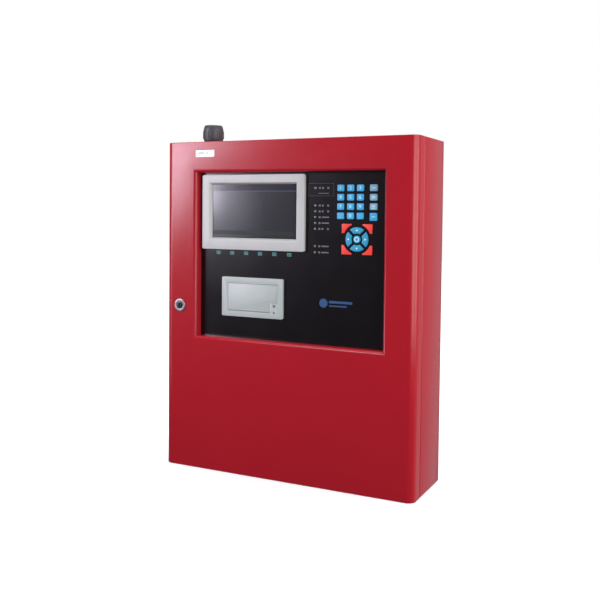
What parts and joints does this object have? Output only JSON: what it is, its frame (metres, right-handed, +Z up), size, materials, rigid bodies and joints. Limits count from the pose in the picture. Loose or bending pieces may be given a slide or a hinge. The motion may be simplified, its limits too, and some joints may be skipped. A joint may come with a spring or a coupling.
{
  "type": "fire alarm control panel",
  "caption": "Wall-mounted steel control cabinet with a hinged door that carries a screen, keypad, indicator lamps and panel printer.",
  "frame": {"origin": "centre of the four wall holes, on the wall face of the cabinet", "axes": "+Z up, -Y out of the door towards the user, +Y into the wall, +X to the hinge side"},
  "size_m": [0.44, 0.1283, 0.573],
  "materials": {
    "red_paint": "semi-gloss powder coat",
    "zinc_plate": "zinc plated",
    "steel_pin": "ground",
    "black_nylon": "fine matt",
    "black_rubber": "matt",
    "brass": "machined",
    "circuit_board": "solder mask",
    "terminal_green": "moulded",
    "perforated_aluminium": "satin sheet",
    "battery_case": "moulded ABS",
    "lead_insulation": "PVC",
    "fascia_black": "gloss film",
    "bezel_grey": "satin",
    "screen_glass": "unlit screen",
    "lamp_lens": "translucent",
    "lock_chrome": "polished",
    "lock_core_steel": "turned",
    "printer_grey": "satin",
    "paper": "thermal paper",
    "dark_key": "satin",
    "key_blue": "satin silicone",
    "key_pale": "satin silicone",
    "key_red": "satin silicone"
  },
  "bodies": {
    "cabinet": {"cabinet_shell": "red_paint", "hinge_brackets": "zinc_plate", "hinge_pins": "steel_pin", "gland_body": "black_nylon", "gland_locknut": "black_nylon", "gland_seal": "black_rubber", "gland_dome_nut": "black_nylon", "mounting_plate": "zinc_plate", "board_standoffs": "brass", "main_board": "circuit_board", "loop_card": "circuit_board", "terminal_blocks": "terminal_green", "power_supply_case": "perforated_aluminium", "battery_left": "battery_case", "battery_right": "battery_case", "battery_strap": "zinc_plate", "battery_leads": "lead_insulation", "earth_stud": "brass"},
    "door": {"door_shell": "red_paint", "door_hinge_leaves": "zinc_plate", "fascia_plate": "fascia_black", "lcd_bezel": "bezel_grey", "lcd_panel": "screen_glass", "keypad_board": "circuit_board", "indicator_lenses": "lamp_lens", "lock_housing": "lock_chrome", "printer_housing": "printer_grey"},
    "lock": {"lock_core": "lock_core_steel", "lock_cam": "zinc_plate"},
    "printer_cover": {"printer_cover": "printer_grey"},
    "platen_roller": {"platen_roller": "black_rubber"},
    "paper_roll": {"paper_roll": "paper"},
    "printer_feed_key": {"printer_feed_key": "dark_key"},
    "mains_rocker": {"mains_rocker": "black_nylon"},
    "battery_rocker": {"battery_rocker": "black_nylon"},
    "key_row1_col1": {"key_row1_col1": "key_blue"},
    "key_row1_col2": {"key_row1_col2": "key_blue"},
    "key_row1_col3": {"key_row1_col3": "key_blue"},
    "key_row1_col4": {"key_row1_col4": "key_pale"},
    "key_row2_col1": {"key_row2_col1": "key_blue"},
    "key_row2_col2": {"key_row2_col2": "key_blue"},
    "key_row2_col3": {"key_row2_col3": "key_blue"},
    "key_row2_col4": {"key_row2_col4": "key_pale"},
    "key_row3_col1": {"key_row3_col1": "key_blue"},
    "key_row3_col2": {"key_row3_col2": "key_blue"},
    "key_row3_col3": {"key_row3_col3": "key_blue"},
    "key_row3_col4": {"key_row3_col4": "key_pale"},
    "key_row4_col1": {"key_row4_col1": "key_blue"},
    "key_row4_col2": {"key_row4_col2": "key_blue"},
    "key_row4_col3": {"key_row4_col3": "key_blue"},
    "key_row4_col4": {"key_row4_col4": "key_pale"},
    "nav_up_key": {"nav_up_key": "key_blue"},
    "nav_left_key": {"nav_left_key": "key_blue"},
    "nav_down_key": {"nav_down_key": "key_blue"},
    "nav_right_key": {"nav_right_key": "key_blue"},
    "nav_centre_key": {"nav_centre_key": "key_blue"},
    "red_corner_key_1": {"red_corner_key_1": "key_red"},
    "red_corner_key_2": {"red_corner_key_2": "key_red"},
    "red_corner_key_3": {"red_corner_key_3": "key_red"},
    "red_corner_key_4": {"red_corner_key_4": "key_red"}
  },
  "joints": [
    {"name": "door_hinge", "type": "hinge", "parent": "cabinet", "child": "door", "pos_m": [0.214, -0.106, 0], "axis": [0, 0, 1], "range_deg": [0, 110]},
    {"name": "lock_turn", "type": "hinge", "parent": "door", "child": "lock", "pos_m": [-0.1915, -0.116, -0.0006], "axis": [0, 1, 0], "range_deg": [0, 90]},
    {"name": "printer_cover_hinge", "type": "hinge", "parent": "door", "child": "printer_cover", "pos_m": [-0.067, -0.112, -0.0036], "axis": [1, 0, 0], "range_deg": [0, 85]},
    {"name": "platen_spin", "type": "hinge", "parent": "printer_cover", "child": "platen_roller", "pos_m": [-0.065, -0.105, 0.0325], "axis": [1, 0, 0], "continuous": true},
    {"name": "paper_roll_spin", "type": "hinge", "parent": "door", "child": "paper_roll", "pos_m": [-0.065, -0.08, 0.012], "axis": [1, 0, 0], "continuous": true},
    {"name": "printer_feed_key_press", "type": "slide", "parent": "door", "child": "printer_feed_key", "axis": [0, 1, 0], "range_m": [0, 0.0006], "stiffness_N_per_m": 600, "springref_m": -0.0005},
    {"name": "mains_rocker_tip", "type": "hinge", "parent": "cabinet", "child": "mains_rocker", "pos_m": [0.099, -0.057, 0.068], "axis": [1, 0, 0], "range_deg": [-16, 0]},
    {"name": "battery_rocker_tip", "type": "hinge", "parent": "cabinet", "child": "battery_rocker", "pos_m": [0.136, -0.057, 0.068], "axis": [1, 0, 0], "range_deg": [-16, 0]},
    {"name": "key_row1_col1_press", "type": "slide", "parent": "door", "child": "key_row1_col1", "axis": [0, 1, 0], "range_m": [0, 0.0012], "stiffness_N_per_m": 600, "springref_m": -0.0005},
    {"name": "key_row1_col2_press", "type": "slide", "parent": "door", "child": "key_row1_col2", "axis": [0, 1, 0], "range_m": [0, 0.0012], "stiffness_N_per_m": 600, "springref_m": -0.0005},
    {"name": "key_row1_col3_press", "type": "slide", "parent": "door", "child": "key_row1_col3", "axis": [0, 1, 0], "range_m": [0, 0.0012], "stiffness_N_per_m": 600, "springref_m": -0.0005},
    {"name": "key_row1_col4_press", "type": "slide", "parent": "door", "child": "key_row1_col4", "axis": [0, 1, 0], "range_m": [0, 0.0012], "stiffness_N_per_m": 600, "springref_m": -0.0005},
    {"name": "key_row2_col1_press", "type": "slide", "parent": "door", "child": "key_row2_col1", "axis": [0, 1, 0], "range_m": [0, 0.0012], "stiffness_N_per_m": 600, "springref_m": -0.0005},
    {"name": "key_row2_col2_press", "type": "slide", "parent": "door", "child": "key_row2_col2", "axis": [0, 1, 0], "range_m": [0, 0.0012], "stiffness_N_per_m": 600, "springref_m": -0.0005},
    {"name": "key_row2_col3_press", "type": "slide", "parent": "door", "child": "key_row2_col3", "axis": [0, 1, 0], "range_m": [0, 0.0012], "stiffness_N_per_m": 600, "springref_m": -0.0005},
    {"name": "key_row2_col4_press", "type": "slide", "parent": "door", "child": "key_row2_col4", "axis": [0, 1, 0], "range_m": [0, 0.0012], "stiffness_N_per_m": 600, "springref_m": -0.0005},
    {"name": "key_row3_col1_press", "type": "slide", "parent": "door", "child": "key_row3_col1", "axis": [0, 1, 0], "range_m": [0, 0.0012], "stiffness_N_per_m": 600, "springref_m": -0.0005},
    {"name": "key_row3_col2_press", "type": "slide", "parent": "door", "child": "key_row3_col2", "axis": [0, 1, 0], "range_m": [0, 0.0012], "stiffness_N_per_m": 600, "springref_m": -0.0005},
    {"name": "key_row3_col3_press", "type": "slide", "parent": "door", "child": "key_row3_col3", "axis": [0, 1, 0], "range_m": [0, 0.0012], "stiffness_N_per_m": 600, "springref_m": -0.0005},
    {"name": "key_row3_col4_press", "type": "slide", "parent": "door", "child": "key_row3_col4", "axis": [0, 1, 0], "range_m": [0, 0.0012], "stiffness_N_per_m": 600, "springref_m": -0.0005},
    {"name": "key_row4_col1_press", "type": "slide", "parent": "door", "child": "key_row4_col1", "axis": [0, 1, 0], "range_m": [0, 0.0012], "stiffness_N_per_m": 600, "springref_m": -0.0005},
    {"name": "key_row4_col2_press", "type": "slide", "parent": "door", "child": "key_row4_col2", "axis": [0, 1, 0], "range_m": [0, 0.0012], "stiffness_N_per_m": 600, "springref_m": -0.0005},
    {"name": "key_row4_col3_press", "type": "slide", "parent": "door", "child": "key_row4_col3", "axis": [0, 1, 0], "range_m": [0, 0.0012], "stiffness_N_per_m": 600, "springref_m": -0.0005},
    {"name": "key_row4_col4_press", "type": "slide", "parent": "door", "child": "key_row4_col4", "axis": [0, 1, 0], "range_m": [0, 0.0012], "stiffness_N_per_m": 600, "springref_m": -0.0005},
    {"name": "nav_up_key_press", "type": "slide", "parent": "door", "child": "nav_up_key", "axis": [0, 1, 0], "range_m": [0, 0.0012], "stiffness_N_per_m": 600, "springref_m": -0.0005},
    {"name": "nav_left_key_press", "type": "slide", "parent": "door", "child": "nav_left_key", "axis": [0, 1, 0], "range_m": [0, 0.0012], "stiffness_N_per_m": 600, "springref_m": -0.0005},
    {"name": "nav_down_key_press", "type": "slide", "parent": "door", "child": "nav_down_key", "axis": [0, 1, 0], "range_m": [0, 0.0012], "stiffness_N_per_m": 600, "springref_m": -0.0005},
    {"name": "nav_right_key_press", "type": "slide", "parent": "door", "child": "nav_right_key", "axis": [0, 1, 0], "range_m": [0, 0.0012], "stiffness_N_per_m": 600, "springref_m": -0.0005},
    {"name": "nav_centre_key_press", "type": "slide", "parent": "door", "child": "nav_centre_key", "axis": [0, 1, 0], "range_m": [0, 0.0012], "stiffness_N_per_m": 600, "springref_m": -0.0005},
    {"name": "red_corner_key_1_press", "type": "slide", "parent": "door", "child": "red_corner_key_1", "axis": [0, 1, 0], "range_m": [0, 0.0012], "stiffness_N_per_m": 600, "springref_m": -0.0005},
    {"name": "red_corner_key_2_press", "type": "slide", "parent": "door", "child": "red_corner_key_2", "axis": [0, 1, 0], "range_m": [0, 0.0012], "stiffness_N_per_m": 600, "springref_m": -0.0005},
    {"name": "red_corner_key_3_press", "type": "slide", "parent": "door", "child": "red_corner_key_3", "axis": [0, 1, 0], "range_m": [0, 0.0012], "stiffness_N_per_m": 600, "springref_m": -0.0005},
    {"name": "red_corner_key_4_press", "type": "slide", "parent": "door", "child": "red_corner_key_4", "axis": [0, 1, 0], "range_m": [0, 0.0012], "stiffness_N_per_m": 600, "springref_m": -0.0005}
  ]
}
